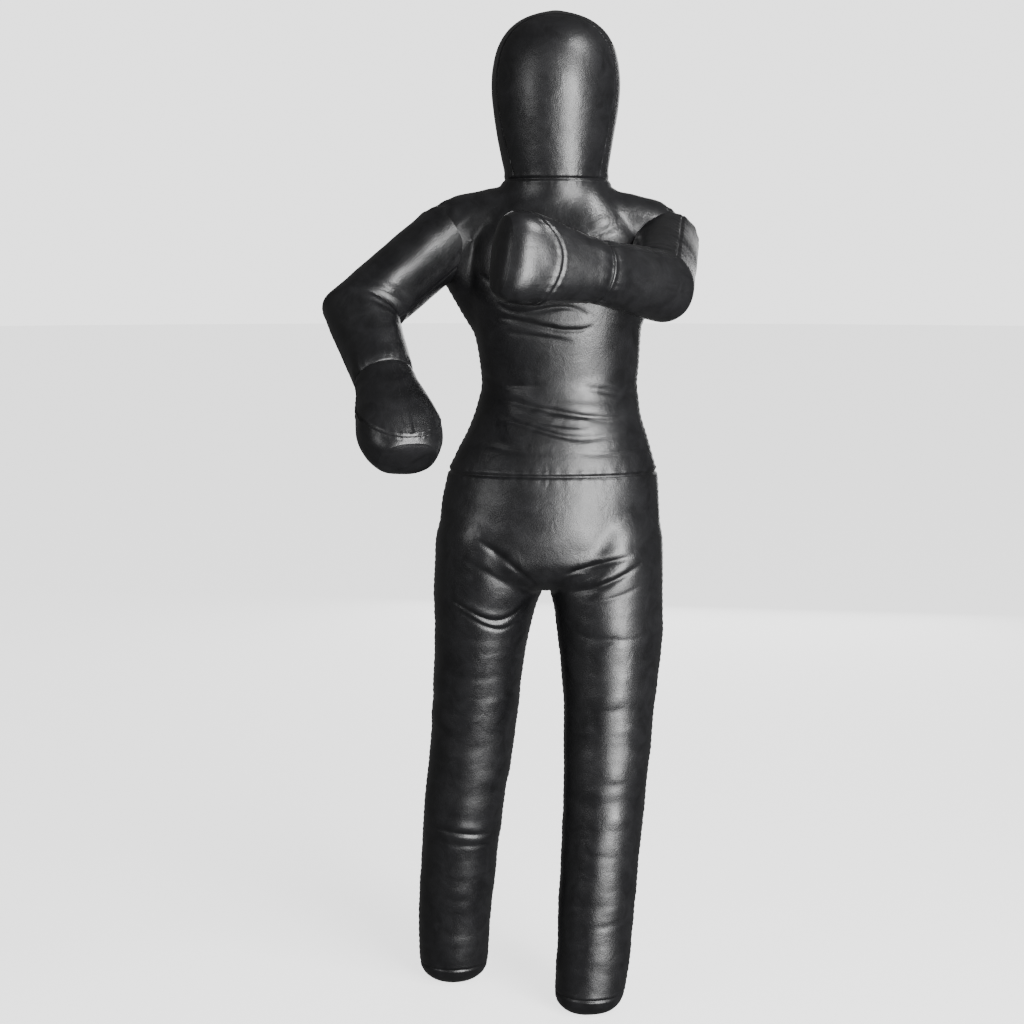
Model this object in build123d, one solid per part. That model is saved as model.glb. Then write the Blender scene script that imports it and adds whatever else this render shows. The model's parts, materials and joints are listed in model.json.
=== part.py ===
"""A grappling dummy: a stuffed leather figure with bent arms, a plain hood and stump-ended legs.

The figure stands on +Z and faces -Y, so its own left side is +X. Lengths are in millimetres.
Every limb is a cover of sewn leather panels around a packed filling. Where the figure bends,
the filling on one side ends in a ball and the other side is hollowed to a cup around it.
"""

from build123d import *

import os
from math import cos, degrees, radians, sin

# ---- driving dimensions ------------------------------------------------------------------
LEATHER = 2.0        # thickness of a cover panel
LINER_GAP = 0.5      # air between a cover and its filling
SEAM_GAP = 0.4       # air between two panels along a seam
CUP_GAP = 0.6        # air between a ball and its cup
FACE_GAP = 0.8       # air left between two limbs at the end of a joint's travel

# trunk: (height, middle X, middle Y, half width, half depth) of each level section
CHEST_SECTIONS = [
    (1044, 13, 10, 131, 95),
    (1144, 11, 1, 138, 104),
    (1222, 8, -7, 142, 112),
    (1300, 7, -2, 144, 107),
    (1345, 7, 8, 138, 97),
    (1379, 7, 10, 112, 86),
    (1408, 7, 5, 85, 84),
    (1425, 7, 4, 84, 84),
]
PELVIS_SECTIONS = [
    (700, -3, 0, 193, 116),
    (815, -3, 0, 191, 118),
    (920, 1, 0, 177, 112),
    (1000, 9, 5, 143, 100),
    (1084, 13, 10, 131, 95),
]
TRUNK_STEPS = 11         # even sections that each trunk part is drawn through
LIMB_STEPS = 7
WAIST_SEAM_Z = 920.0

# legs: (distance below the hip, half width, half depth) of each level section
HIPS = {"l": (96.0, 0.0, 815.0), "r": (-103.0, 0.0, 815.0)}
FEET = {"l": (66.0, -72.0, 0.0), "r": (-173.0, 75.0, 0.0)}
KNEE_Z = 400.0
THIGH_SECTIONS = {
    "l": [(-10, 93, 98), (115, 92, 94), (190, 87, 88), (290, 78, 80), (445, 74, 75)],
    "r": [(-10, 93, 98), (115, 88, 92), (190, 81, 84), (290, 75, 77), (445, 72, 73)],
}
SHIN_SECTIONS = [(385, 72, 73), (525, 69, 69), (670, 65, 64), (815, 61, 60)]
SOLE_ROUND = 22.0
FOOT_SEAM_Z = 30.0

# arms: joint positions and radii
SHOULDERS = {"l": (189.0, -5.0, 1303.0), "r": (-176.0, -5.0, 1308.0)}
ELBOWS = {"l": (167.0, -216.0, 1234.0), "r": (-312.0, -113.0, 1188.0)}
WRISTS = {"l": (66.0, -315.0, 1258.0), "r": (-265.0, -213.0, 1088.0)}
HAND_ENDS = {"l": (-76.0, -400.0, 1284.0), "r": (-221.0, -325.0, 972.0)}
SHOULDER_RADIUS = 58.0
ELBOW_RADIUS = 56.0
WRIST_RADIUS = 48.0
ARMHOLE_X = {"l": 153.0, "r": -139.0}
ARMHOLE_RADIUS = 105.0   # the arm's inner side is flat this far around the shoulder
ARM_FLARE = 1.0          # how far the flat side then leans inward, per millimetre of distance

# mitts: (share of the length, half width, half depth), and the way each mitt is wide
MITT_SECTIONS = [(-0.12, 48, 47), (0.3, 56, 47), (0.7, 68, 47), (1.0, 70, 46)]
MITT_ACROSS = {"l": (0, 0, 1), "r": (1, 0.4, 0)}
MITT_ROUND = 18.0
MITT_END = 32.0          # depth of the end panel

# head: (radius, height) up its side, for a figure of revolution
HEAD_PROFILE = [(84, 1385), (85, 1410), (92, 1455), (103, 1510), (108, 1565), (99, 1622), (68, 1662)]
HEAD_TOP = 1680.0
HEAD_MIDDLE = (5.0, 2.0, 1560.0)
HEAD_RADIUS = 108.0
HEAD_SEAM_Y = -44.0

# bends: middle, ball radius, and the ball's half length along the bend's axis
WAIST = (13.0, 10.0, 1064.0)
WAIST_BALL = (90.0, 125.0)
NECK = (7.0, 4.0, 1408.0)
NECK_BALL = 74.0
HIP_BALL = (104.0, 186.0)
KNEE_BALL = 67.0
ELBOW_BALL = 52.5
WRIST_BALL = 44.5

# travel of each bend, in degrees from the pose that the figure is sewn in
WAIST_TRAVEL = (-10, 20)
NECK_TRAVEL = (-15, 20)
HIP_TRAVEL = (-15, 50)
KNEE_TRAVEL = (0, 50)
ELBOW_TRAVEL = (-20, 20)
WRIST_TRAVEL = (-15, 15)

# zip in the back
ZIP_X = 9.0
ZIP_LOW_Z = 1105.0
ZIP_HIGH_Z = 1315.0
ZIP_SLOT = 8.0           # half of the opening between the two back panels
TAPE_FACE_Y = 100.4
TAPE_WIDTH = 15.0
TAPE_THICK = 1.2
COIL_SLIT = 0.7          # half of the gap between the coils, where the slider's neck runs
COIL_WIDTH = 3.4
COIL_HEIGHT = 3.0
STOP_LENGTH = 4.0
SLIDER_LENGTH = 24.0
SLIDER_WIDTH = 15.0
SLIDER_NECK = 0.7
PLATE_THICK = 1.4
PLATE_GAP = 0.6          # air between the slider's plates and what runs between them
PIVOT_RADIUS = 1.0       # pin that the pull tab swings on
PIVOT_LIFT = 3.3         # height of that pin over the slider's top plate
EAR_SPAN = 6.0
EAR_THICK = 1.2
PULL_LENGTH = 34.0
PULL_WIDTH = 9.0
PULL_THICK = 1.4
PULL_EYE = 2.6
PULL_NECK = 5.0

FAR = 400.0              # reach of a cutting tool past the piece it cuts
X_WAY = (1, 0, 0)
UP = (0, 0, 1)
DOWN = (0, 0, -1)


# ---- small geometry helpers --------------------------------------------------------------
def end_slopes(positions, values):
    """Slopes at each point of a curve that never swings past its own points."""
    steps = [
        (values[i + 1] - values[i]) / (positions[i + 1] - positions[i])
        for i in range(len(values) - 1)
    ]
    slopes = [steps[0]]
    for before, after in zip(steps, steps[1:]):
        turns = before * after <= 0
        slopes.append(0 if turns else 2 * before * after / (before + after))
    return slopes + [steps[-1]]


def even_rows(rows, count):
    """Rows of numbers, resampled along a smooth curve at even steps of their first number."""
    positions = [row[0] for row in rows]
    columns = [[row[i] for row in rows] for i in range(len(rows[0]))]
    slopes = [end_slopes(positions, column) for column in columns]
    even = []
    for step in range(count):
        at = positions[0] + (positions[-1] - positions[0]) * step / (count - 1)
        k = max(i for i in range(len(rows) - 1) if positions[i] <= at)
        width = positions[k + 1] - positions[k]
        t = (at - positions[k]) / width
        row = []
        for column, slope in zip(columns, slopes):
            row.append(
                column[k] * (1 + 2 * t) * (1 - t) ** 2
                + slope[k] * width * t * (1 - t) ** 2
                + column[k + 1] * t * t * (3 - 2 * t)
                - slope[k + 1] * width * t * t * (1 - t)
            )
        even.append(row)
    return even


def tube(sections, normal, across, shrink):
    """A loft through ellipses, each (middle, half width, half depth), made thinner by shrink."""
    faces = [
        Plane(origin=middle, x_dir=across, z_dir=normal) * Ellipse(wide - shrink, deep - shrink)
        for middle, wide, deep in sections
    ]
    return loft(faces)


def half_space(point, normal):
    """A large block on the side of a plane that its normal points to."""
    block = Box(10 * FAR, 10 * FAR, 10 * FAR, align=(Align.CENTER, Align.CENTER, Align.MIN))
    return Plane(origin=point, z_dir=normal) * block


def split(cover, point, normal):
    """The two panels of a cover, on the side of the normal and on the other side of the seam."""
    middle = Vector(*point)
    way = Vector(*normal).normalized()
    ahead = cover & half_space(middle + way * (SEAM_GAP / 2), way)
    behind = cover & half_space(middle - way * (SEAM_GAP / 2), -way)
    return ahead, behind


def block_between(low, high):
    """A box from one corner to the opposite one."""
    size = [b - a for a, b in zip(low, high)]
    return Pos(*low) * Box(*size, align=(Align.MIN, Align.MIN, Align.MIN))


def turned_angle(axis, start, end):
    """Degrees from one direction to another about an axis, from 0 to 360."""
    start = start - axis * start.dot(axis)
    end = end - axis * end.dot(axis)
    angle = start.get_angle(end)
    return angle if axis.dot(start.cross(end)) >= 0 else 360 - angle


class Bend:
    """A hinge in the figure. The parent's filling ends in a ball, the child's in a cup."""

    def __init__(self, middle, axis, to_parent, to_child, travel, ball, half_length=None):
        self.middle = Vector(*middle)
        self.axis = Vector(*axis).normalized()
        self.to_parent = Vector(*to_parent)
        self.to_child = Vector(*to_child)
        self.ball_radius = ball
        self.half_length = half_length or ball
        low, high = travel
        between = turned_angle(self.axis, self.to_child, self.to_parent)
        slack = degrees(FACE_GAP / ball)
        self.closing = min(90, (between - high - slack) / 2)
        self.opening = min(90, (360 - between + low - slack) / 2)

    def ball(self, extra=0):
        """A sphere, or an egg shape that is long in the direction of the bend's axis."""
        if self.half_length == self.ball_radius:
            return Plane(origin=self.middle, z_dir=self.to_parent) * Sphere(self.ball_radius + extra)
        arc = EllipticalCenterArc(
            center=(0, 0),
            x_radius=self.ball_radius + extra,
            y_radius=self.half_length + extra,
            start_angle=-90,
            arc_size=180,
        )
        outline = make_face(Plane.XZ * (arc + Line(arc @ 1, arc @ 0)))
        return Plane(origin=self.middle, z_dir=self.axis) * revolve(outline, Axis.Z)

    def wedge(self, toward, start, end):
        """A sector about the axis, from start to end degrees past a direction."""
        flat = (toward - self.axis * toward.dot(self.axis)).normalized()
        side = self.axis.cross(flat)
        steps = 6
        turns = [radians(start + (end - start) * i / steps) for i in range(steps + 1)]
        rim = [self.middle + (flat * cos(turn) + side * sin(turn)) * FAR for turn in turns]
        face = make_face(Polyline(self.middle, *rim, close=True))
        return extrude(face, amount=FAR, dir=self.axis, both=True)

    def parent_end(self, piece):
        return piece - self.wedge(self.to_parent, self.opening, 360 - self.closing)

    def child_end(self, piece):
        beyond = self.wedge(self.to_child, self.closing, 360 - self.opening)
        return piece - beyond - self.ball(CUP_GAP)


# ---- the bends ---------------------------------------------------------------------------
def arm_axis(side):
    """The elbow's axis, square to the plane that the sewn arm lies in."""
    elbow = Vector(*ELBOWS[side])
    to_shoulder = Vector(*SHOULDERS[side]) - elbow
    to_wrist = Vector(*WRISTS[side]) - elbow
    return to_wrist.cross(to_shoulder).normalized()


def arm_bend(side, points_before, middle, points_after, travel, ball):
    centre = Vector(*middle[side])
    to_parent = Vector(*points_before[side]) - centre
    to_child = Vector(*points_after[side]) - centre
    return Bend(middle[side], arm_axis(side), to_parent, to_child, travel, ball)


def knee_point(side):
    """The point of the straight leg line at knee height."""
    hip = Vector(*HIPS[side])
    foot = Vector(*FEET[side])
    share = (hip.Z - KNEE_Z) / (hip.Z - foot.Z)
    return hip + (foot - hip) * share


waist_bend = Bend(WAIST, X_WAY, DOWN, UP, WAIST_TRAVEL, *WAIST_BALL)
neck_bend = Bend(NECK, X_WAY, DOWN, UP, NECK_TRAVEL, NECK_BALL)
hip_middle = (PELVIS_SECTIONS[1][1], 0, HIPS["l"][2])
hip_bend = Bend(hip_middle, (-1, 0, 0), UP, DOWN, HIP_TRAVEL, *HIP_BALL)
knee_bends = {
    side: Bend(tuple(knee_point(side)), X_WAY, UP, DOWN, KNEE_TRAVEL, KNEE_BALL) for side in "lr"
}
elbow_bends = {
    side: arm_bend(side, SHOULDERS, ELBOWS, WRISTS, ELBOW_TRAVEL, ELBOW_BALL) for side in "lr"
}
wrist_bends = {
    side: arm_bend(side, ELBOWS, WRISTS, HAND_ENDS, WRIST_TRAVEL, WRIST_BALL) for side in "lr"
}


# ---- trunk -------------------------------------------------------------------------------
def trunk_tube(sections, shrink):
    rows = even_rows(sections, TRUNK_STEPS)
    return tube([((x, y, z), wide, deep) for z, x, y, wide, deep in rows], UP, X_WAY, shrink)


def pelvis():
    """Belly and hips: the cover on both sides of the waist seam, and one filling."""
    cover = trunk_tube(PELVIS_SECTIONS, 0) - trunk_tube(PELVIS_SECTIONS, LEATHER)
    cover = hip_bend.parent_end(waist_bend.parent_end(cover))
    filling = trunk_tube(PELVIS_SECTIONS, LEATHER + LINER_GAP)
    filling = hip_bend.parent_end(waist_bend.parent_end(filling))
    filling = filling + waist_bend.ball() + hip_bend.ball()
    belly, hips = split(cover, (0, 0, WAIST_SEAM_Z), UP)
    belly_back, belly_front = split(belly, (0, 0, 0), (0, 1, 0))
    hips_back, hips_front = split(hips, (0, 0, 0), (0, 1, 0))
    return {
        "belly_front_panel": belly_front,
        "belly_back_panel": belly_back,
        "hips_front_panel": hips_front,
        "hips_back_panel": hips_back,
        "belly_and_hips_filling": filling,
    }


def chest():
    """The chest, with a slot in the back for the zip and a pocket behind it."""
    cover = trunk_tube(CHEST_SECTIONS, 0) - trunk_tube(CHEST_SECTIONS, LEATHER)
    cover = neck_bend.parent_end(waist_bend.child_end(cover))
    filling = trunk_tube(CHEST_SECTIONS, LEATHER + LINER_GAP)
    filling = neck_bend.parent_end(waist_bend.child_end(filling)) + neck_bend.ball()
    pocket_y = TAPE_FACE_Y - TAPE_THICK - PLATE_GAP - PLATE_THICK - PLATE_GAP
    pocket = block_between(
        (ZIP_X - TAPE_WIDTH - 2, pocket_y, ZIP_LOW_Z - 2),
        (ZIP_X + TAPE_WIDTH + 2, pocket_y + FAR, ZIP_HIGH_Z + 2),
    )
    slot = block_between(
        (ZIP_X - ZIP_SLOT, 0, ZIP_LOW_Z + 1), (ZIP_X + ZIP_SLOT, FAR, ZIP_HIGH_Z - 1)
    )
    back, front = split(cover, (0, 0, 0), (0, 1, 0))
    back_left, back_right = split(back - slot, (ZIP_X, 0, 0), X_WAY)
    return {
        "chest_front_panel": front,
        "chest_back_panel_l": back_left,
        "chest_back_panel_r": back_right,
        "chest_filling": filling - pocket,
    }


# ---- zip ---------------------------------------------------------------------------------
def zip_fastener():
    """Tapes, coils and stops, then the slider around the coils and its pull tab."""
    parts = {}
    coil_low = ZIP_LOW_Z + 2 + STOP_LENGTH + PLATE_GAP
    coil_high = ZIP_HIGH_Z - 2 - STOP_LENGTH - PLATE_GAP
    coil_top_y = TAPE_FACE_Y + COIL_HEIGHT
    stop_y = TAPE_FACE_Y + 0.1
    top_stops = []
    for side, way in (("l", 1), ("r", -1)):
        tape = block_between(
            (COIL_SLIT, TAPE_FACE_Y - TAPE_THICK, ZIP_LOW_Z),
            (TAPE_WIDTH, TAPE_FACE_Y, ZIP_HIGH_Z),
        )
        coil = block_between(
            (COIL_SLIT, TAPE_FACE_Y, coil_low), (COIL_SLIT + COIL_WIDTH, coil_top_y, coil_high)
        )
        stop = block_between(
            (COIL_SLIT, stop_y, coil_high + PLATE_GAP),
            (COIL_SLIT + COIL_WIDTH + 1, coil_top_y, coil_high + PLATE_GAP + STOP_LENGTH),
        )
        placed = [piece if way > 0 else mirror(piece, Plane.YZ) for piece in (tape, coil, stop)]
        parts[f"zip_tape_{side}"] = Pos(ZIP_X, 0, 0) * placed[0]
        parts[f"zip_coil_{side}"] = Pos(ZIP_X, 0, 0) * placed[1]
        top_stops.append(Pos(ZIP_X, 0, 0) * placed[2])
    parts["zip_top_stops"] = top_stops[0] + top_stops[1]
    parts["zip_bottom_stop"] = block_between(
        (ZIP_X - COIL_WIDTH - 2, stop_y, ZIP_LOW_Z + 2),
        (ZIP_X + COIL_WIDTH + 2, coil_top_y, ZIP_LOW_Z + 2 + STOP_LENGTH),
    )
    parts["zip_slider"] = zip_slider()
    parts["zip_pull"] = zip_pull()
    return parts


def slider_middle_z():
    """Where the closed slider sits, just under the top stops."""
    return ZIP_HIGH_Z - 2 - STOP_LENGTH - 2 * PLATE_GAP - SLIDER_LENGTH / 2


def slider_travel():
    """How far the slider runs down before it meets the bottom stop."""
    lowest = ZIP_LOW_Z + 2 + STOP_LENGTH + 2 * PLATE_GAP + SLIDER_LENGTH / 2
    return slider_middle_z() - lowest


def top_plate_y():
    return TAPE_FACE_Y + COIL_HEIGHT + PLATE_GAP


def pull_pivot():
    """The middle of the pin that the pull tab swings on."""
    return (ZIP_X, top_plate_y() + PLATE_THICK + PIVOT_LIFT, slider_middle_z())


def zip_slider():
    """Two plates joined by a thin neck between the coils, and two ears that carry a pin."""
    under_y = TAPE_FACE_Y - TAPE_THICK - PLATE_GAP - PLATE_THICK
    plate = Box(SLIDER_WIDTH, PLATE_THICK, SLIDER_LENGTH, align=(Align.CENTER, Align.MIN, Align.CENTER))
    upper = Pos(0, top_plate_y(), 0) * plate
    under = Pos(0, under_y, 0) * plate
    neck = block_between(
        (-SLIDER_NECK / 2, under_y, 0), (SLIDER_NECK / 2, top_plate_y() + 0.1, SLIDER_LENGTH / 2)
    )
    _, pin_y, _ = pull_pivot()
    pin = Pos(0, pin_y, 0) * Rot(0, 90, 0) * Cylinder(PIVOT_RADIUS, EAR_SPAN + 2 * EAR_THICK)
    body = upper + under + neck + pin
    for way in (-1, 1):
        ear_x = way * (EAR_SPAN + EAR_THICK) / 2
        round_end = Pos(ear_x, pin_y, 0) * Rot(0, 90, 0) * Cylinder(2 * PIVOT_RADIUS, EAR_THICK)
        stem = block_between(
            (ear_x - EAR_THICK / 2, top_plate_y() + 0.1, -2 * PIVOT_RADIUS),
            (ear_x + EAR_THICK / 2, pin_y, 2 * PIVOT_RADIUS),
        )
        body = body + round_end + stem
    return Pos(ZIP_X, 0, slider_middle_z()) * body


def zip_pull():
    """A flat tab that hangs from the slider's pin by a round eye."""
    eye = Rot(0, 90, 0) * Cylinder(PULL_EYE, EAR_SPAN - 1)
    stem = block_between(
        (-(EAR_SPAN - 1) / 2, -PULL_THICK / 2, -PULL_NECK - 1),
        ((EAR_SPAN - 1) / 2, PULL_THICK / 2, 0),
    )
    tab = block_between(
        (-PULL_WIDTH / 2, -PULL_THICK / 2, -PULL_LENGTH), (PULL_WIDTH / 2, PULL_THICK / 2, -PULL_NECK)
    )
    tab = fillet(tab.edges().filter_by(Axis.Y), PULL_WIDTH / 4)
    hole = Rot(0, 90, 0) * Cylinder(PIVOT_RADIUS + PLATE_GAP / 2, EAR_SPAN)
    return Pos(*pull_pivot()) * (eye + stem + tab - hole)


# ---- head --------------------------------------------------------------------------------
def head_solid(shrink):
    """A figure of revolution about the head's upright line."""
    share = 1 - shrink / HEAD_RADIUS
    middle_z = HEAD_MIDDLE[2]
    side = [(radius * share, (z - middle_z) * share) for radius, z in HEAD_PROFILE]
    top = (0, (HEAD_TOP - middle_z) * share)
    curve = Spline(*side, top, tangents=[(0, 1), (-1, 0)])
    foot = (0, side[0][1])
    outline = make_face(Plane.XZ * (curve + Polyline(top, foot, side[0])))
    return Pos(*HEAD_MIDDLE) * revolve(outline, Axis.Z)


def head():
    cover = neck_bend.child_end(head_solid(0) - head_solid(LEATHER))
    back, face = split(cover, (0, HEAD_SEAM_Y, 0), (0, 1, 0))
    return {
        "head_face_panel": face,
        "head_back_panel": back,
        "head_filling": neck_bend.child_end(head_solid(LEATHER + LINER_GAP)),
    }


# ---- legs --------------------------------------------------------------------------------
def leg_tube(side, sections, shrink, lift=0):
    """Level sections along the straight line from hip to foot. lift raises the lowest one."""
    hip = Vector(*HIPS[side])
    foot = Vector(*FEET[side])
    *upper, (lowest, wide, deep) = sections
    rows = even_rows([*upper, (lowest - lift, wide, deep)], LIMB_STEPS)
    placed = []
    for below, wide, deep in rows:
        placed.append((hip + (foot - hip) * (below / (hip.Z - foot.Z)), wide, deep))
    return tube(placed, UP, X_WAY, shrink)


def shin_solid(side, shrink, lift):
    """A shin down to a flat sole with a rounded rim."""
    solid = leg_tube(side, SHIN_SECTIONS, shrink, lift)
    rim = solid.faces().sort_by(Axis.Z)[0].edges()
    return fillet(rim, SOLE_ROUND - lift)


def leg_seam_normal(side):
    """Square to the leg's line and to the width of the figure, so the seams run up its sides."""
    along = Vector(*FEET[side]) - Vector(*HIPS[side])
    return Vector(*X_WAY).cross(along).normalized() * -1


def leg(side):
    normal = leg_seam_normal(side)
    hip = HIPS[side]
    knee = knee_bends[side]
    sections = THIGH_SECTIONS[side]
    cover = leg_tube(side, sections, 0) - leg_tube(side, sections, LEATHER)
    thigh_back, thigh_front = split(knee.parent_end(hip_bend.child_end(cover)), hip, normal)
    filling = knee.parent_end(hip_bend.child_end(leg_tube(side, sections, LEATHER + LINER_GAP)))
    shin_cover = knee.child_end(shin_solid(side, 0, 0) - shin_solid(side, LEATHER, LEATHER))
    shin_cover, cap = split(shin_cover, (0, 0, FOOT_SEAM_Z), UP)
    shin_back, shin_front = split(shin_cover, hip, normal)
    liner = LEATHER + LINER_GAP
    return {
        f"thigh_front_panel_{side}": thigh_front,
        f"thigh_back_panel_{side}": thigh_back,
        f"thigh_filling_{side}": filling + knee.ball(),
        f"shin_front_panel_{side}": shin_front,
        f"shin_back_panel_{side}": shin_back,
        f"foot_cap_{side}": cap,
        f"shin_filling_{side}": knee.child_end(shin_solid(side, liner, liner)),
    }


# ---- arms --------------------------------------------------------------------------------
def arm_tube(side, start, end, sections, shrink):
    """Round sections square to the line from start to end, each (share of it, radius)."""
    first = Vector(*start[side])
    line = Vector(*end[side]) - first
    placed = [(first + line * share, radius, radius) for share, radius in sections]
    return tube(placed, line, arm_axis(side), shrink)


def chest_side(side):
    """The space that the chest may use: everything inward of the arm's flat inner side."""
    inward = -1 if side == "l" else 1
    lean = ARM_FLARE * (FAR - ARMHOLE_RADIUS)
    outline = make_face(
        Polyline(
            (0, 0), (ARMHOLE_RADIUS, 0), (FAR, lean), (FAR, lean + FAR), (0, lean + FAR), close=True
        )
    )
    _, middle_y, middle_z = SHOULDERS[side]
    solid = revolve(Plane.XZ * outline, Axis.Z)
    place = Plane(origin=(ARMHOLE_X[side], middle_y, middle_z), z_dir=(inward, 0, 0))
    return place * solid


def upper_arm_solid(side, shrink):
    """A taper with a round shoulder end, flattened where it lies against the chest."""
    shoulder = Vector(*SHOULDERS[side])
    line = Vector(*ELBOWS[side]) - shoulder
    reach = line.length * 1.15
    wide = SHOULDER_RADIUS - shrink
    thin = ELBOW_RADIUS - shrink
    round_end = CenterArc((0, 0), wide, start_angle=-90, arc_size=90)
    rest = Polyline((wide, 0), (thin, reach), (0, reach), (0, -wide))
    limb = revolve(make_face(Plane.XZ * (round_end + rest)), Axis.Z)
    return Plane(origin=shoulder, z_dir=line) * limb - chest_side(side)


def forearm_solid(side, shrink):
    return arm_tube(side, ELBOWS, WRISTS, [(-0.2, ELBOW_RADIUS), (1.2, WRIST_RADIUS)], shrink)


def mitt_frame(side):
    """The mitt's wrist, its direction, its length and the direction it is wide in."""
    wrist = Vector(*WRISTS[side])
    line = Vector(*HAND_ENDS[side]) - wrist
    way = line.normalized()
    across = Vector(*MITT_ACROSS[side])
    across = (across - way * across.dot(way)).normalized()
    return wrist, way, line.length, across


def mitt_solid(side, shrink, lift):
    wrist, way, length, across = mitt_frame(side)
    rows = [(min(length * share, length - lift), wide, deep) for share, wide, deep in MITT_SECTIONS]
    placed = [(wrist + way * reach, wide, deep) for reach, wide, deep in even_rows(rows, LIMB_STEPS)]
    solid = tube(placed, way, across, shrink)
    rim = solid.faces().sort_by(Axis(tuple(wrist), tuple(way)))[-1].edges()
    return fillet(rim, MITT_ROUND - lift)


def front_and_back(cover, point, normal):
    """The two panels of a cover, the one that faces forward first."""
    ahead, behind = split(cover, point, normal)
    return (ahead, behind) if normal.Y < 0 else (behind, ahead)


def arm(side):
    elbow = elbow_bends[side]
    wrist = wrist_bends[side]
    plane_normal = arm_axis(side)
    liner = LEATHER + LINER_GAP

    upper_cover = elbow.parent_end(upper_arm_solid(side, 0) - upper_arm_solid(side, LEATHER))
    upper_front, upper_back = front_and_back(upper_cover, ELBOWS[side], plane_normal)
    upper_filling = elbow.parent_end(upper_arm_solid(side, liner)) + elbow.ball()

    fore_cover = forearm_solid(side, 0) - forearm_solid(side, LEATHER)
    fore_cover = wrist.parent_end(elbow.child_end(fore_cover))
    fore_front, fore_back = front_and_back(fore_cover, ELBOWS[side], plane_normal)
    fore_filling = wrist.parent_end(elbow.child_end(forearm_solid(side, liner))) + wrist.ball()

    start, way, length, across = mitt_frame(side)
    mitt_cover = wrist.child_end(mitt_solid(side, 0, 0) - mitt_solid(side, LEATHER, LEATHER))
    end_panel, mitt_cover = split(mitt_cover, start + way * (length - MITT_END), way)
    mitt_back, mitt_palm = front_and_back(mitt_cover, start, way.cross(across))
    return {
        f"upper_arm_front_panel_{side}": upper_front,
        f"upper_arm_back_panel_{side}": upper_back,
        f"upper_arm_filling_{side}": upper_filling,
        f"forearm_front_panel_{side}": fore_front,
        f"forearm_back_panel_{side}": fore_back,
        f"forearm_filling_{side}": fore_filling,
        f"mitt_back_panel_{side}": mitt_back,
        f"mitt_palm_panel_{side}": mitt_palm,
        f"mitt_end_panel_{side}": end_panel,
        f"mitt_filling_{side}": wrist.child_end(mitt_solid(side, liner, liner)),
    }


# ---- output ------------------------------------------------------------------------------
def joint_points():
    """Every joint's middle and positive axis, before the figure is centred."""
    points = {
        "waist_bend": (WAIST, X_WAY),
        "neck_nod": (NECK, X_WAY),
        "zip_slide": ((ZIP_X, TAPE_FACE_Y, slider_middle_z()), DOWN),
        "zip_pull_swing": (pull_pivot(), X_WAY),
    }
    for side in "lr":
        points[f"shoulder_swing_{side}"] = (SHOULDERS[side], (-1, 0, 0))
        points[f"elbow_flex_{side}"] = (ELBOWS[side], tuple(arm_axis(side)))
        points[f"wrist_flex_{side}"] = (WRISTS[side], tuple(arm_axis(side)))
        points[f"hip_flex_{side}"] = (HIPS[side], (-1, 0, 0))
        points[f"knee_flex_{side}"] = (tuple(knee_point(side)), X_WAY)
    return points


def main():
    os.makedirs("parts", exist_ok=True)
    parts = {**pelvis(), **chest(), **zip_fastener(), **head()}
    for side in "lr":
        parts.update(arm(side))
        parts.update(leg(side))
    boxes = [shape.bounding_box() for shape in parts.values()]
    middle_x = (min(box.min.X for box in boxes) + max(box.max.X for box in boxes)) / 2
    middle_y = (min(box.min.Y for box in boxes) + max(box.max.Y for box in boxes)) / 2
    shift = Vector(-middle_x, -middle_y, 0)
    for name, shape in parts.items():
        export_step(Pos(*shift) * shape, f"parts/{name}.step")
    for name, (middle, axis) in joint_points().items():
        place = Vector(*middle) + shift
        print("joint", name, *[round(v, 3) for v in place], *[round(v, 5) for v in axis])
    print("shift", round(shift.X, 3), round(shift.Y, 3), "slider travel", round(slider_travel(), 3))


if __name__ == "__main__":
    main()
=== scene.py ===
"""The grappling dummy's looks: stuffed leather, seams, creases, back zip, light and camera."""
import json
from math import cos, pi, radians, sin

import bmesh
import bpy
import numpy as np
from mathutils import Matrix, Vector
from mathutils.bvhtree import BVHTree


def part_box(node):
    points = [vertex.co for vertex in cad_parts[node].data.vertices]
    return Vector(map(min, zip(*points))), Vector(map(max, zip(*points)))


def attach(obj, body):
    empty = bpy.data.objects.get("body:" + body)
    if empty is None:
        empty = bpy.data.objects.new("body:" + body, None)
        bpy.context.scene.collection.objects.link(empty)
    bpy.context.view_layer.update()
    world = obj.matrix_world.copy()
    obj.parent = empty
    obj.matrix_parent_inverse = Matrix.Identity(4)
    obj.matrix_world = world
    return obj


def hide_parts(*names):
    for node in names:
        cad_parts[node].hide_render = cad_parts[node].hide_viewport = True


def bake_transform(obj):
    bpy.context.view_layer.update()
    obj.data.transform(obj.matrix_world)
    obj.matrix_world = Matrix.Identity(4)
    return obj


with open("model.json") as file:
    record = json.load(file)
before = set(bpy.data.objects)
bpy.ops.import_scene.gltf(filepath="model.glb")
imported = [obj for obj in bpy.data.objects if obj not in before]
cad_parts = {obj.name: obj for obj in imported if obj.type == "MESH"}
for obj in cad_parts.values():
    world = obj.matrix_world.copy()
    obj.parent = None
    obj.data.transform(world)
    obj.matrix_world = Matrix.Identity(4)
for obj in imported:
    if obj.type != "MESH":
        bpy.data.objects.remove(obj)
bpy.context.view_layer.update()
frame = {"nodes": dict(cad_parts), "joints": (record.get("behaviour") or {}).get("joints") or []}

JOINTS = {joint["name"]: joint for joint in frame["joints"]}

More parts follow.
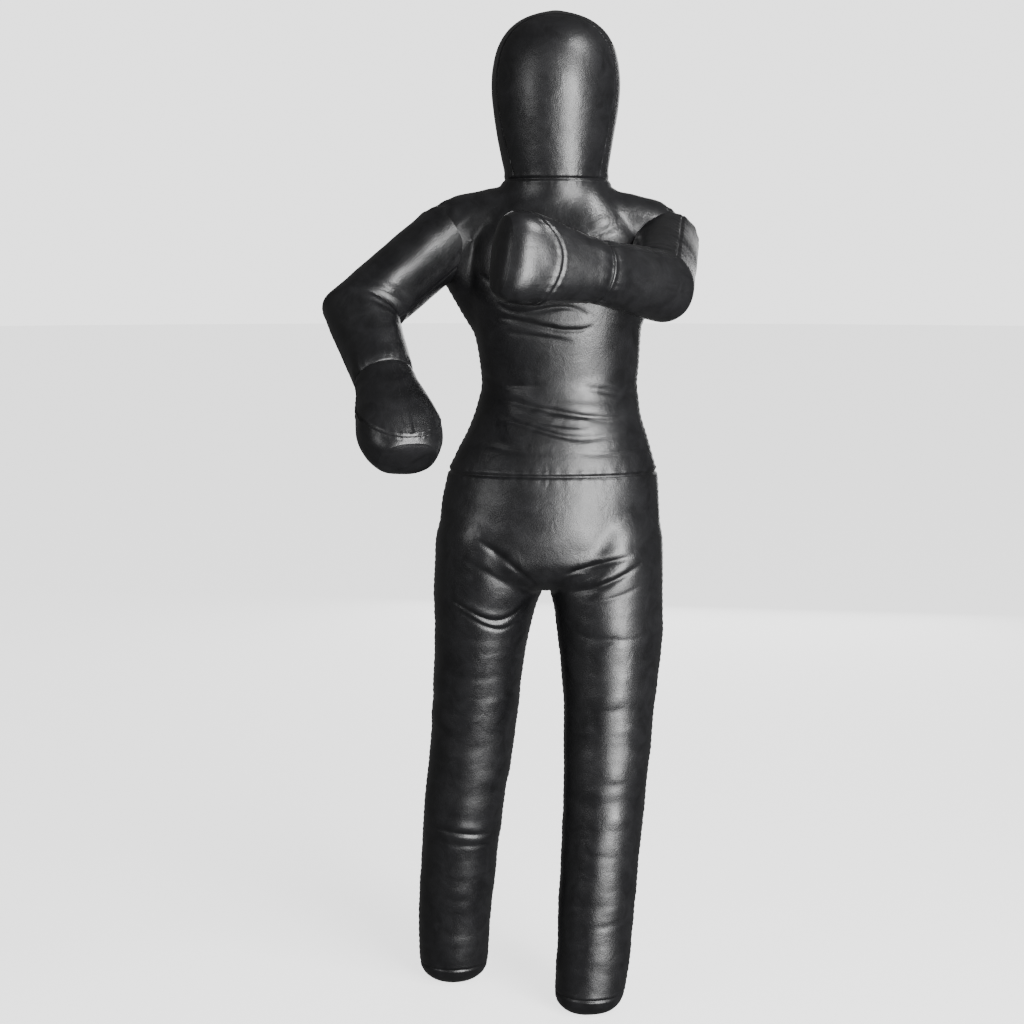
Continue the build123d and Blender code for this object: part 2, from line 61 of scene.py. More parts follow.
# ---- shape, in millimetres about the figure's own origin (between the feet, on the floor) --
# joints and ends of the limbs, and the direction of each mitt's width
HIPS = {"l": (96, 0, 815), "r": (-103, 0, 815)}
SHOULDERS = {"l": (189, -5, 1303), "r": (-176, -5, 1308)}
ELBOWS = {"l": (167, -216, 1234), "r": (-312, -113, 1188)}
WRISTS = {"l": (66, -315, 1258), "r": (-265, -213, 1088)}
HAND_ENDS = {"l": (-76, -400, 1284), "r": (-221, -325, 972)}
MITT_ACROSS = {"l": (0, 0, 1), "r": (1, 0.4, 0)}

# (height, middle x, middle y, half width, half depth, squareness)
TRUNK = [
    (722, -3, 0, 120, 60, 2), (735, -3, 0, 150, 88, 2), (765, -3, 0, 180, 108, 2),
    (815, -3, 0, 189, 115, 2), (870, -2, 0, 185, 114, 2), (908, 1, 0, 179, 110, 2),
    (920, 1, 0, 176, 108, 2), (932, 2, 1, 173, 108, 2), (1000, 9, 5, 145, 100, 2),
    (1064, 13, 9, 130, 94, 2), (1120, 12, 4, 135, 99, 2.1), (1206, 6, -4, 147, 106, 2.4),
    (1262, 7, -3, 148, 103, 2.8), (1310, 8, 0, 143, 96, 2.9), (1350, 8, 5, 124, 84, 2.6),
    (1376, 8, 6, 102, 80, 2.3), (1394, 7, 5, 88, 81, 2), (1425, 7, 4, 84, 83, 2),
]
# (height, middle x, middle y, half width, half depth)
HEAD = [
    (1380, 7, 5, 84, 83), (1408, 7, 4, 83, 83), (1432, 6, 3, 89, 88), (1475, 5, 2, 97, 95),
    (1510, 5, 2, 103, 102), (1545, 5, 2, 107, 106), (1572, 5, 2, 107, 106), (1600, 5, 2, 103, 103),
    (1622, 5, 2, 97, 97), (1644, 5, 2, 84, 84), (1660, 5, 2, 67, 67), (1671, 5, 2, 47, 47),
    (1677, 5, 2, 27, 27), (1680, 5, 2, 8, 8),
]
LEGS = {
    "l": [
        (0, 66, -72, 38, 38), (3, 66, -72, 48, 48), (9, 66, -72, 55, 55), (20, 67, -70, 60, 60),
        (34, 68, -69, 61, 61), (82, 73, -65, 63, 62), (184, 79, -56, 66, 66),
        (303, 87, -45, 69, 70), (421, 95, -35, 73, 74), (524, 99, -26, 78, 79),
        (627, 101, -17, 88, 89), (690, 97, -11, 92, 94), (716, 93, -8, 95, 96),
        (740, 94, -6, 95, 98), (815, 96, 0, 93, 101), (850, 94, 0, 84, 92), (870, 92, 0, 60, 66),
    ],
    "r": [
        (0, -173, 75, 38, 38), (3, -173, 75, 48, 48), (9, -173, 75, 55, 55),
        (20, -173, 73, 60, 60), (34, -172, 72, 61, 61), (82, -171, 67, 63, 62),
        (146, -168, 62, 65, 64), (280, -157, 49, 69, 69), (411, -141, 37, 72, 73),
        (520, -130, 27, 75, 77), (627, -121, 17, 80, 84), (690, -113, 11, 87, 91),
        (716, -108, 8, 94, 94), (740, -107, 6, 94, 97), (815, -103, 0, 93, 101),
        (850, -100, 0, 84, 92), (870, -98, 0, 60, 66),
    ],
}
# rounded masses of the upper trunk: (start, end, start radius, end radius)
SHOULDER_MASSES = {
    "l": [
        ((38, 0, 1341), (158, 0, 1317), 61, 56), ((158, 0, 1317), (192, -2, 1294), 56, 54),
        ((96, 0, 1190), (160, 0, 1278), 58, 56),
    ],
    "r": [
        ((-28, 0, 1342), (-146, 0, 1326), 61, 55), ((-146, 0, 1326), (-175, -3, 1308), 55, 58.5),
        ((-86, 0, 1190), (-142, 2, 1284), 58, 58),
    ],
}
# radius of each arm at the armhole, the elbow and the wrist
ARM_RADII = {"l": (54, 56, 48), "r": (58, 57, 48)}
# the way each armhole faces, and where round a sleeve its two seams lie
ARMHOLE_FACING = {"l": (0.1, -1.0, -0.2), "r": (-0.5, -0.8, -0.25)}
ARM_SEAM_TURNS = {"l": (0.0, pi), "r": (pi / 2, 3 * pi / 2)}

NECK_Z = 1405
FACE_SEAM_Y = -44
WAIST_SEAM_Z = 920
SIDE_SEAM_LOW_Z = 812  # below this the side seams follow the legs
CROTCH = (-3.5, 0, 705)
SHIN_SPLIT_Z = 520
FOOT_SEAM_Z = 32
CUT_REACH = 12         # how far from a seam's plane the skin may be cut
ZIP_X = 9
ZIP_LOW = 1105
ZIP_HIGH = 1315
ZIP_SLOT = 8           # half the width of the slot over the zip
SLOT_FLOOR_Y = 97.5    # the skin in the slot is pushed in to here

VOXEL_M = 0.0052
SKIN_SMOOTHING = 16

HIP_M = JOINTS["hip_flex_l"]["pos_m"]
OFFSET = np.array([HIP_M[0] * 1000 - HIPS["l"][0], HIP_M[1] * 1000 - HIPS["l"][1], 0.0])


def metres(point):
    """From the figure's own millimetres to the frame's metres."""
    return (np.asarray(point, float) + OFFSET) / 1000


def unit(vector):
    vector = np.asarray(vector, float)
    return vector / np.linalg.norm(vector)


# ---- numbers -------------------------------------------------------------------------------
def lattice(cell, seed):
    """A fixed number from -1 to 1 for each whole-number cell."""
    h = cell[..., 0] * 374761393 + cell[..., 1] * 668265263 + cell[..., 2] * 1440662683
    h = (h + seed * 1274126177) & 0xFFFFFFFF
    h = ((h ^ (h >> 13)) * 1274126177) & 0xFFFFFFFF
    return ((h ^ (h >> 16)) & 0xFFFF) / 32767.5 - 1


def noise(points, size, seed):
    """Smooth noise from -1 to 1 whose lumps are about size millimetres apart."""
    scaled = np.asarray(points, float) / np.asarray(size, float)
    cell = np.floor(scaled).astype(np.int64)
    part = scaled - cell
    part = part * part * (3 - 2 * part)
    total = np.zeros(len(scaled))
    for corner in np.ndindex(2, 2, 2):
        weight = np.ones(len(scaled))
        for axis in range(3):
            weight *= part[:, axis] if corner[axis] else 1 - part[:, axis]
        total += weight * lattice(cell + np.array(corner), seed)
    return total


def bell(distance, width):
    return np.exp(-((distance / width) ** 2))


def groove(distance, width, depth):
    """A narrow valley with a soft ridge on each side of it."""
    return depth * (0.42 * bell(distance, 2.6 * width) - 1.25 * bell(distance, width))


def ramp(value, low, high):
    share = np.clip((value - low) / (high - low), 0, 1)
    return share * share * (3 - 2 * share)


def distance_to_path(points, path):
    """Nearest distance to a line of points, and how far along it that is, from 0 to 1."""
    best = np.full(len(points), 1e9)
    along = np.zeros(len(points))
    count = len(path) - 1
    for i in range(count):
        start = path[i]
        step = path[i + 1] - start
        share = np.clip((points - start) @ step / (step @ step), 0, 1)
        distance = np.linalg.norm(points - start - share[:, None] * step, axis=1)
        nearer = distance < best
        best = np.where(nearer, distance, best)
        along = np.where(nearer, (i + share) / count, along)
    return best, along


# ---- meshes --------------------------------------------------------------------------------
def smooth_rows(rows, step):
    """Rows at even steps of their first number, with the corners between them rounded."""
    table = np.array(rows, float)
    heights = np.arange(table[0, 0], table[-1, 0] + step / 2, step)
    columns = [np.interp(heights, table[:, 0], table[:, i]) for i in range(1, table.shape[1])]
    for _ in range(6):
        for column in columns:
            column[1:-1] = (column[:-2] + 2 * column[1:-1] + column[2:]) / 4
    return np.column_stack([heights] + columns)


def ring(middle, across, ahead, half_across, half_ahead, count, square=2.0):
    """Points round an oval. Square is 2 for an ellipse and more for fuller corners."""
    turns = np.linspace(0, 2 * pi, count, endpoint=False)
    c, s = np.cos(turns), np.sin(turns)
    c = np.sign(c) * np.abs(c) ** (2 / square)
    s = np.sign(s) * np.abs(s) ** (2 / square)
    offset = np.outer(c * half_across, across) + np.outer(s * half_ahead, ahead)
    return np.asarray(middle, float) + offset


def rings_to_mesh(name, rings):
    """A closed skin over rings of equal count, with a fan at each end."""
    rows, count = len(rings), len(rings[0])
    points = np.vstack(list(rings) + [rings[0].mean(0)[None], rings[-1].mean(0)[None]])
    faces = []
    for row in range(rows - 1):
        here, above = row * count, (row + 1) * count
        for i in range(count):
            j = (i + 1) % count
            faces.append((here + i, here + j, above + j, above + i))
    first, last = rows * count, rows * count + 1
    for i in range(count):
        j = (i + 1) % count
        faces.append((first, j, i))
        faces.append((last, (rows - 1) * count + i, (rows - 1) * count + j))
    mesh = bpy.data.meshes.new(name)
    mesh.from_pydata([tuple(p) for p in metres(points)], [], faces)
    return mesh


def upright(name, rows, step, count=96):
    """A closed skin through level ovals."""
    rings = []
    for z, x, y, half_width, half_depth, *square in smooth_rows(rows, step):
        rings.append(ring((x, y, z), (1, 0, 0), (0, 1, 0), half_width, half_depth, count, *square))
    return rings_to_mesh(name, rings)


def capsule(name, start, end, start_radius, end_radius, count=64):
    """A stick with a ball at each end, the balls of different sizes."""
    start, end = np.array(start, float), np.array(end, float)
    line = unit(end - start)
    across = unit(np.cross(line, (0, 1, 0)))
    ahead = np.cross(line, across)
    rings = []
    for centre, full, first, last in (
        (start, start_radius, -pi / 2 + 0.05, 0),
        (end, end_radius, 0, pi / 2 - 0.05),
    ):
        for turn in np.linspace(first, last, 12):
            middle = centre + line * full * sin(turn)
            radius = full * cos(turn)
            rings.append(ring(middle, across, ahead, radius, radius, count))
    return rings_to_mesh(name, rings)


def coordinates(mesh):
    """The mesh's points in the figure's own millimetres."""
    flat = np.zeros(len(mesh.vertices) * 3)
    mesh.vertices.foreach_get("co", flat)
    return flat.reshape(-1, 3) * 1000 - OFFSET


def set_coordinates(mesh, points):
    mesh.vertices.foreach_set("co", metres(points).ravel())
    mesh.update()


def vertex_normals(mesh):
    flat = np.zeros(len(mesh.vertices) * 3)
    mesh.vertex_normals.foreach_get("vector", flat)
    return flat.reshape(-1, 3)


def applied(obj):
    """The object's mesh with its modifiers applied, in the object's place."""
    bpy.context.view_layer.update()
    graph = bpy.context.evaluated_depsgraph_get()
    mesh = bpy.data.meshes.new_from_object(obj.evaluated_get(graph), depsgraph=graph)
    obj.modifiers.clear()
    obj.data = mesh
    return mesh


def new_object(name, mesh):
    obj = bpy.data.objects.new(name, mesh)
    bpy.context.scene.collection.objects.link(obj)
    return obj


def smooth_object(name, mesh):
    mesh.polygons.foreach_set("use_smooth", np.ones(len(mesh.polygons), bool))
    return new_object(name, mesh)


def seamed(mesh, cuts):
    """Adds a line of edges where each plane crosses the part of the skin that keep() picks."""
    work = bmesh.new()
    work.from_mesh(mesh)
    for point, normal, keep in cuts:
        faces = [f for f in work.faces if keep(np.array(f.calc_center_median()) * 1000 - OFFSET)]
        geometry = set(faces)
        for face in faces:
            geometry.update(face.verts)
            geometry.update(face.edges)
        bmesh.ops.bisect_plane(
            work, geom=list(geometry), dist=0.0008,
            plane_co=Vector(metres(point)), plane_no=Vector(normal),
        )
    work.to_mesh(mesh)
    work.free()
    mesh.update()


# ---- the stuffed skin of trunk, head and legs -----------------------------------------------
def leg_plane(side):
    """The plane of a leg's two side seams: it holds the leg's axis and the x direction."""
    foot = np.array(LEGS[side][0][1:3] + (0,), float)
    axis = unit(foot - HIPS[side])
    return np.array(HIPS[side], float), unit(np.cross((1, 0, 0), axis))


def body_skin():
    """Trunk, head, legs and shoulders as one smooth skin."""
    work = bmesh.new()
    parts = [upright("trunk", TRUNK, 4), upright("head", HEAD, 3)]
    for side in "lr":
        parts.append(upright("leg", LEGS[side], 4))
        parts.extend(capsule("shoulder", *mass) for mass in SHOULDER_MASSES[side])
    for part in parts:
        work.from_mesh(part)
        bpy.data.meshes.remove(part)
    mesh = bpy.data.meshes.new("body")
    work.to_mesh(mesh)
    work.free()
    obj = new_object("body", mesh)
    remesh = obj.modifiers.new("remesh", "REMESH")
    remesh.mode = "VOXEL"
    remesh.voxel_size = VOXEL_M
    smooth = obj.modifiers.new("smooth", "SMOOTH")
    smooth.factor = 0.5
    smooth.iterations = SKIN_SMOOTHING
    applied(obj)
    return obj


def body_cuts():
    """Planes that the seams follow, each with the part of the skin that it may cut."""
    return [
        ((0, 0, NECK_Z), (0, 0, 1), lambda p: near_level(p, NECK_Z)),
        ((0, FACE_SEAM_Y, 0), (0, 1, 0), near_face_seam),
        ((0, 0, WAIST_SEAM_Z), (0, 0, 1), lambda p: near_level(p, WAIST_SEAM_Z)),
        ((0, 0, 0), (0, 1, 0), near_trunk_side),
        (*leg_plane("l"), lambda p: p[0] > CROTCH[0] and near_leg_side(p, "l")),
        (*leg_plane("r"), lambda p: p[0] < CROTCH[0] and near_leg_side(p, "r")),
        (CROTCH, (1, 0, 0), near_leg_parting),
        ((0, 0, SHIN_SPLIT_Z), (0, 0, 1), lambda p: near_level(p, SHIN_SPLIT_Z)),
        ((0, 0, FOOT_SEAM_Z), (0, 0, 1), lambda p: near_level(p, FOOT_SEAM_Z)),
        ((ZIP_X - ZIP_SLOT, 0, 0), (1, 0, 0), near_zip),
        ((ZIP_X + ZIP_SLOT, 0, 0), (1, 0, 0), near_zip),
    ]


def near_level(point, height):
    return abs(point[2] - height) < CUT_REACH


def near_face_seam(point):
    return point[2] > NECK_Z - 1 and abs(point[1] - FACE_SEAM_Y) < CUT_REACH


def near_trunk_side(point):
    return SIDE_SEAM_LOW_Z < point[2] < NECK_Z and abs(point[1]) < CUT_REACH


def near_leg_side(point, side):
    origin, normal = leg_plane(side)
    return point[2] < SIDE_SEAM_LOW_Z and abs((point - origin) @ normal) < CUT_REACH


def near_leg_parting(point):
    return point[2] < WAIST_SEAM_Z and abs(point[0] - CROTCH[0]) < CUT_REACH


def near_zip(point):
    beside = abs(point[0] - ZIP_X)
    return point[1] > 60 and beside < 22 and ZIP_LOW - 8 < point[2] < ZIP_HIGH + 8


BODY_PIECES = (
    "head_face", "head_back", "torso_front", "torso_back", "trousers_l", "trousers_r",
    "lower_leg_l", "lower_leg_r", "foot_cap_l", "foot_cap_r",
)


def body_piece(point):
    """Which piece of the skin a face belongs to."""
    x, y, z = point
    if z > NECK_Z:
        return 0 if y < FACE_SEAM_Y else 1
    if z > WAIST_SEAM_Z:
        return 2 if y < 0 else 3
    right = 0 if x > CROTCH[0] else 1
    if z > SHIN_SPLIT_Z:
        return 4 + right
    if z > FOOT_SEAM_Z:
        return 6 + right
    return 8 + right


# creases: (front or back, [(x, z), ...], width, depth)
CREASES = [
    ("front", [(-74, 1226), (-32, 1213), (14, 1219), (66, 1206)], 5, 2.2),
    ("front", [(-90, 1203), (-42, 1189), (6, 1197), (60, 1184)], 5, 2.9),
    ("front", [(-88, 1180), (-38, 1171), (20, 1160), (68, 1168)], 5, 2.7),
    ("front", [(-76, 1157), (-22, 1149), (36, 1140)], 5, 1.7),
    ("front", [(-120, 1252), (-98, 1236), (-70, 1226)], 6, 1.6),
    ("front", [(128, 1250), (104, 1236), (76, 1230)], 6, 1.6),
    ("front", [(-112, 1340), (-84, 1322), (-60, 1316)], 7, 1.4),
    ("front", [(112, 1336), (84, 1320), (58, 1316)], 7, 1.4),
    ("front", [(-112, 1052), (-20, 1031), (70, 1016), (140, 1014)], 6, 2.7),
    ("front", [(-95, 1008), (-40, 1002), (30, 984), (118, 992)], 6, 2.7),
    ("front", [(-60, 1018), (0, 1006), (60, 1000)], 5, 2.0),
    ("front", [(-118, 1082), (-66, 1068), (-10, 1072)], 6, 1.8),
    ("front", [(52, 1066), (104, 1054), (140, 1046)], 6, 1.8),
    ("front", [(-128, 975), (-70, 962), (0, 958)], 6, 1.4),
    ("front", [(40, 960), (100, 957), (150, 966)], 6, 1.4),
    ("front", [(-128, 816), (-70, 776), (-26, 734)], 7, 3.2),
    ("front", [(-150, 782), (-104, 756), (-60, 730)], 7, 1.3),
    ("front", [(-176, 712), (-124, 684), (-86, 673), (-46, 698)], 4.5, 3.0),
    ("front", [(-160, 694), (-118, 668), (-86, 658), (-62, 668)], 4.5, 2.0),
    ("front", [(20, 756), (66, 770), (136, 787)], 6, 3.6),
    ("front", [(30, 725), (90, 741), (150, 774)], 6, 3.4),
    ("front", [(60, 712), (104, 718), (150, 738)], 5, 1.2),
    ("front", [(40, 655), (104, 646), (166, 652)], 7, 1.2),
    ("front", [(-206, 300), (-150, 289), (-92, 286)], 5, 2.4),
    ("front", [(-200, 276), (-152, 268), (-100, 268)], 6, 1.2),
    ("back", [(-100, 1046), (0, 1030), (110, 1036)], 7, 2.4),
    ("back", [(-90, 1000), (10, 990), (120, 1000)], 7, 2.4),
    ("back", [(-120, 1078), (-70, 1070), (-20, 1074)], 6, 1.6),
    ("back", [(40, 1078), (90, 1068), (136, 1072)], 6, 1.6),
    ("back", [(-120, 960), (-60, 955), (10, 960)], 7, 1.4),
    ("back", [(-150, 775), (-90, 752), (-28, 728)], 8, 3.4),
    ("back", [(150, 775), (90, 752), (22, 728)], 8, 3.4),
    ("back", [(-180, 742), (-115, 722), (-40, 704)], 7, 2.2),
    ("back", [(178, 742), (110, 722), (34, 704)], 7, 2.2),
    ("back", [(-90, 1290), (-60, 1262), (-44, 1226)], 8, 1.2),
    ("back", [(104, 1290), (76, 1262), (60, 1226)], 8, 1.2),
]


def leg_ripples():
    """Shallow creases round the legs, a little uneven in height, slope and depth."""
    strokes = []
    for side, start in (("l", 0.0), ("r", 1.7)):
        heights, middles = zip(*[row[:2] for row in LEGS[side]])
        for i in range(13):
            z = 622 - 42 * i + 9 * sin(2.3 * i + start)
            x = float(np.interp(z, heights, middles))
            half = 38 + 14 * sin(1.9 * i + start)
            shift = 20 * sin(3.1 * i + 2 * start)
            slope = 7 * sin(1.3 * i + start)
            depth = 0.45 + 0.3 * sin(4.1 * i + start)
            x += shift
            path = [(x - half, z - slope), (x, z - 3), (x + half, z + slope)]
            strokes.append(("front" if i % 3 else "back", path, 8, depth))
    return strokes


def laid(path, way, tree):
    """Up to 13 points of a smooth line through the path, laid on the skin from one side."""
    sign = -1 if way == "front" else 1
    table = np.array(path, float)
    share = np.linspace(0, 1, len(table))
    found = []
    for s in np.linspace(0, 1, 13):
        weights = np.ones(len(table))
        for i in range(len(table)):
            for j in range(len(table)):
                if i != j:
                    weights[i] *= (s - share[j]) / (share[i] - share[j])
        x, z = weights @ table
        start = metres((x, sign * 500, z))
        hit, _, _, _ = tree.ray_cast(Vector(start), Vector((0, -sign, 0)), 1.0)
        if hit is not None:
            found.append(np.array(hit) * 1000 - OFFSET)
    return np.array(found)


def crease_push(points, tree):
    """A fold is a valley with a fuller roll of leather above it."""
    push = np.zeros(len(points))
    for way, path, width, depth in CREASES + leg_ripples():
        line = laid(path, way, tree)
        if len(line) < 3:
            continue
        low, high = line.min(0) - 6 * width, line.max(0) + 6 * width
        near = np.flatnonzero(((points > low) & (points < high)).all(1))
        spot = points[near]
        distance, along = distance_to_path(spot, line)
        above, _ = distance_to_path(spot, line + np.array([0, 0, 2.3 * width]))
        fade = np.clip(np.sin(pi * along), 0, 1) ** 0.7
        wander = 1 + 0.35 * noise(spot, 18, 31)
        roll = 0.6 * bell(above, 1.7 * width)
        valley = bell(distance * wander, 0.8 * width)
        push[near] += fade * depth * (roll - valley)
    return push


def puckers(distance, along, seed, reach=9, pitch=11, height=0.55):
    """The small gathers that stitching draws up on both sides of a seam."""
    phase = 2 * pi * along / pitch
    phase = phase + 2.4 * noise(np.column_stack([along, along * 0, along * 0]), 26, seed)
    return height * np.sin(phase) * bell(distance, reach) * (1 - bell(distance, reach / 4))


def armhole_push(points, side):
    """A dip where the sleeve is sewn to the shoulder, with gathers round it."""
    shoulder = np.array(SHOULDERS[side], float)
    facing = unit(ARMHOLE_FACING[side])
    offset = points - shoulder
    along = offset @ facing
    radial = offset - along[:, None] * facing
    radius = np.linalg.norm(radial, axis=1)
    distance = np.hypot(along - 3, radius - ARM_RADII[side][0])
    across = unit(np.cross(facing, (0, 0, 1)))
    turn = np.arctan2(radial @ across, radial @ np.cross(facing, across))
    gathers = puckers(distance, turn * 55, 7, reach=15, pitch=21, height=0.8)
    return -2.0 * bell(distance, 8) + gathers


def lumps(points):
    """The uneven packing under the leather: level rolls on legs and waist, little on the head."""
    z = points[:, 2]
    push = 1.3 * noise(points, 85, 1) + 0.6 * noise(points, 38, 2)
    rolls = 1.1 * noise(points, (90, 90, 26), 3) + 0.2 * noise(points, (50, 50, 11), 5)
    push += (1 - ramp(z, 700, 800)) * rolls
    push += bell(z - 1010, 70) * noise(points, (95, 95, 20), 4)
    return push * (1 - 0.6 * ramp(z, 1420, 1470))


def level_seams(points):
    """The seams round the neck, the waist and the feet."""
    x, y, z = points.T
    around = np.arctan2(x - 5, y) * 150
    front = ramp(-y, -30, 45)
    distance = np.abs(z - NECK_Z)
    push = (0.35 + 0.65 * front) * groove(distance, 2.6, 3.0) * bell(distance, 40)
    push += front * puckers(distance, around * 0.6, 11, reach=10, pitch=16, height=0.25)
    distance = np.abs(z - WAIST_SEAM_Z)
    push += groove(distance, 3.2, 2.8)
    push += puckers(distance, around, 12, reach=12, pitch=24, height=0.35)
    return push + groove(np.abs(z - FOOT_SEAM_Z), 2.2, 2.2) * (z > 8)


def side_seams(points):
    """The seams down the sides of the hood, the trunk and each leg."""
    x, y, z = points.T
    on_head = ramp(z, NECK_Z, NECK_Z + 6)
    distance = np.abs(y - FACE_SEAM_Y)
    gathers = puckers(distance, z, 13, reach=8, height=0.35)
    push = on_head * (groove(distance, 2.0, 1.7) + gathers)
    on_trunk = ramp(z, SIDE_SEAM_LOW_Z, 818) * (1 - ramp(z, NECK_Z - 8, NECK_Z))
    distance = np.abs(y)
    push += on_trunk * (groove(distance, 2.2, 1.8) + puckers(distance, z, 14, height=0.5))
    for side, way in (("l", 1), ("r", -1)):
        origin, normal = leg_plane(side)
        on_leg = (1 - ramp(z, 806, 816)) * (way * (x - CROTCH[0]) > 0)
        distance = np.abs((points - origin) @ normal)
        gathers = puckers(distance, z, 15 + way, height=0.5)
        push += on_leg * (groove(distance, 2.2, 1.8) + gathers)
    return push


def back_seams(points):
    """The seam between the legs and up the back, and how far into the zip's slot a point is."""
    x, y, z = points.T
    behind = ramp(y, -60, -20) + ramp(-z, -735, -715) * (y < 0)
    on_hips = np.minimum(behind, 1) * (1 - ramp(z, 905, 915)) * ramp(z, 690, 705)
    push = on_hips * groove(np.abs(x - CROTCH[0]), 2.2, 1.6)
    beside = np.abs(x - ZIP_X)
    on_zip = (y > 60) * ramp(z, ZIP_LOW - 5, ZIP_LOW) * (1 - ramp(z, ZIP_HIGH, ZIP_HIGH + 5))
    push += on_zip * 1.2 * bell(beside - ZIP_SLOT - 4, 4)
    on_back = (1 - ramp(z, NECK_Z - 6, NECK_Z)) * ramp(z, WAIST_SEAM_Z, WAIST_SEAM_Z + 5)
    push += (1 - on_zip) * (y > 60) * on_back * groove(beside, 2.2, 1.6)
    return push, on_zip * (1 - ramp(beside, ZIP_SLOT - 1.5, ZIP_SLOT))


def shaped_body():
    """The body's skin with seams and creases; its material index says which piece a face is."""
    obj = body_skin()
    seamed(obj.data, body_cuts())
    centres = np.zeros(len(obj.data.polygons) * 3)
    obj.data.polygons.foreach_get("center", centres)
    centres = centres.reshape(-1, 3) * 1000 - OFFSET
    for _ in BODY_PIECES:
        obj.data.materials.append(None)
    kinds = np.array([body_piece(centre) for centre in centres], np.int32)
    obj.data.polygons.foreach_set("material_index", kinds)
    divide = obj.modifiers.new("divide", "SUBSURF")
    divide.levels = 1
    applied(obj)
    mesh = obj.data
    graph = bpy.context.evaluated_depsgraph_get()
    tree = BVHTree.FromObject(obj, graph)
    points = coordinates(mesh)
    normals = vertex_normals(mesh)
    push, in_slot = back_seams(points)
    push += lumps(points) + level_seams(points) + side_seams(points)
    push += armhole_push(points, "l") + armhole_push(points, "r")
    push += crease_push(points, tree)
    points += normals * push[:, None]
    points[:, 1] -= in_slot * np.clip(points[:, 1] - SLOT_FLOOR_Y, 0, 20)
    points[:, 2] = np.maximum(points[:, 2], 0)
    set_coordinates(mesh, points)
    return obj


def split_up(obj, names):
    """One object for each material index, with the whole skin's normals, so no border shows."""
    mesh = obj.data
    points = np.zeros(len(mesh.vertices) * 3, np.float32)
    mesh.vertices.foreach_get("co", points)
    points = points.reshape(-1, 3)
    normals = vertex_normals(mesh)
    corners = np.zeros(len(mesh.loops), np.int32)
    mesh.loops.foreach_get("vertex_index", corners)
    corners = corners.reshape(-1, 4)
    kinds = np.zeros(len(mesh.polygons), np.int32)
    mesh.polygons.foreach_get("material_index", kinds)
    pieces = {}
    for kind, name in enumerate(names):
        used, faces = np.unique(corners[kinds == kind], return_inverse=True)
        faces = faces.reshape(-1, 4)
        part = bpy.data.meshes.new(name)
        part.from_pydata(points[used].tolist(), [], faces.tolist())
        part.polygons.foreach_set("use_smooth", np.ones(len(faces), bool))
        part.normals_split_custom_set_from_vertices(normals[used].tolist())
        pieces[name] = new_object(name, part)
    bpy.data.objects.remove(obj)
    return pieces


# ---- sleeves and mitts ---------------------------------------------------------------------
ROOT_LENGTH = 17  # the closed top of a sleeve is rounded off over this length
ROOT_DROP = 22    # and by this much of its radius


def arm_lines(side):
    """Shoulder, elbow, wrist and hand end, and the three directions between them."""
    stops = [np.array(place[side], float) for place in (SHOULDERS, ELBOWS, WRISTS, HAND_ENDS)]
    ways = [unit(stops[i + 1] - stops[i]) for i in range(3)]
    return stops, ways


def plane_reach(start, way, point, normal):
    """How far each start point runs along way before it meets a plane."""
    return ((point - start) @ normal) / (way @ normal)


def sleeve_rings(side, count=168):
    """Rings from the armhole to the wrist, with a sewn corner at the elbow."""
    (shoulder, elbow, wrist, _), (first, second, third) = arm_lines(side)
    corner = unit(first + second)
    cuff = unit(second + third)
    across = unit(np.cross(first, second))
    turns = np.linspace(0, 2 * pi, count, endpoint=False)[:, None]
    wide, middle, thin = ARM_RADII[side]
    facing = unit(ARMHOLE_FACING[side])
    rings = []
    spokes = np.cos(turns) * across + np.sin(turns) * np.cross(first, across)
    root = plane_reach(shoulder + spokes * wide, first, shoulder, facing)[:, None]
    reach = plane_reach(shoulder + spokes * middle, first, elbow, corner)[:, None]
    for share in np.r_[np.linspace(0, 0.12, 16), np.linspace(0.12, 1, 78)[1:]]:
        past = share * (reach - root)
        rounding = np.clip(1 - past / ROOT_LENGTH, 0, 1) ** 2
        radius = wide + (middle - wide) * share - ROOT_DROP * (1 - np.sqrt(1 - rounding))
        rings.append(shoulder + spokes * radius + first * (root + past))
    elbow_row = len(rings) - 1
    spokes = np.cos(turns) * across + np.sin(turns) * np.cross(second, across)
    start = plane_reach(elbow + spokes * middle, second, elbow, corner)[:, None]
    end = plane_reach(elbow + spokes * thin, second, wrist, cuff)[:, None]
    for share in np.linspace(0, 1, 60)[1:]:
        radius = middle + (thin - middle) * share
        rings.append(elbow + spokes * radius + second * (start + (end - start) * share))
    rows = np.array(rings)
    low, high = elbow_row - 7, elbow_row + 8
    for _ in range(8):
        before, after = rows[low - 1 : high - 1], rows[low + 1 : high + 1]
        rows[low:high] = (before + 2 * rows[low:high] + after) / 4
    centre = rows[-1].mean(0)
    tucked = [
        centre + (rows[-1] - centre) * share + second * further
        for share, further in ((0.97, 1.5), (0.92, 2.0), (0.8, 1.0))
    ]
    return np.concatenate([rows, np.array(tucked)])


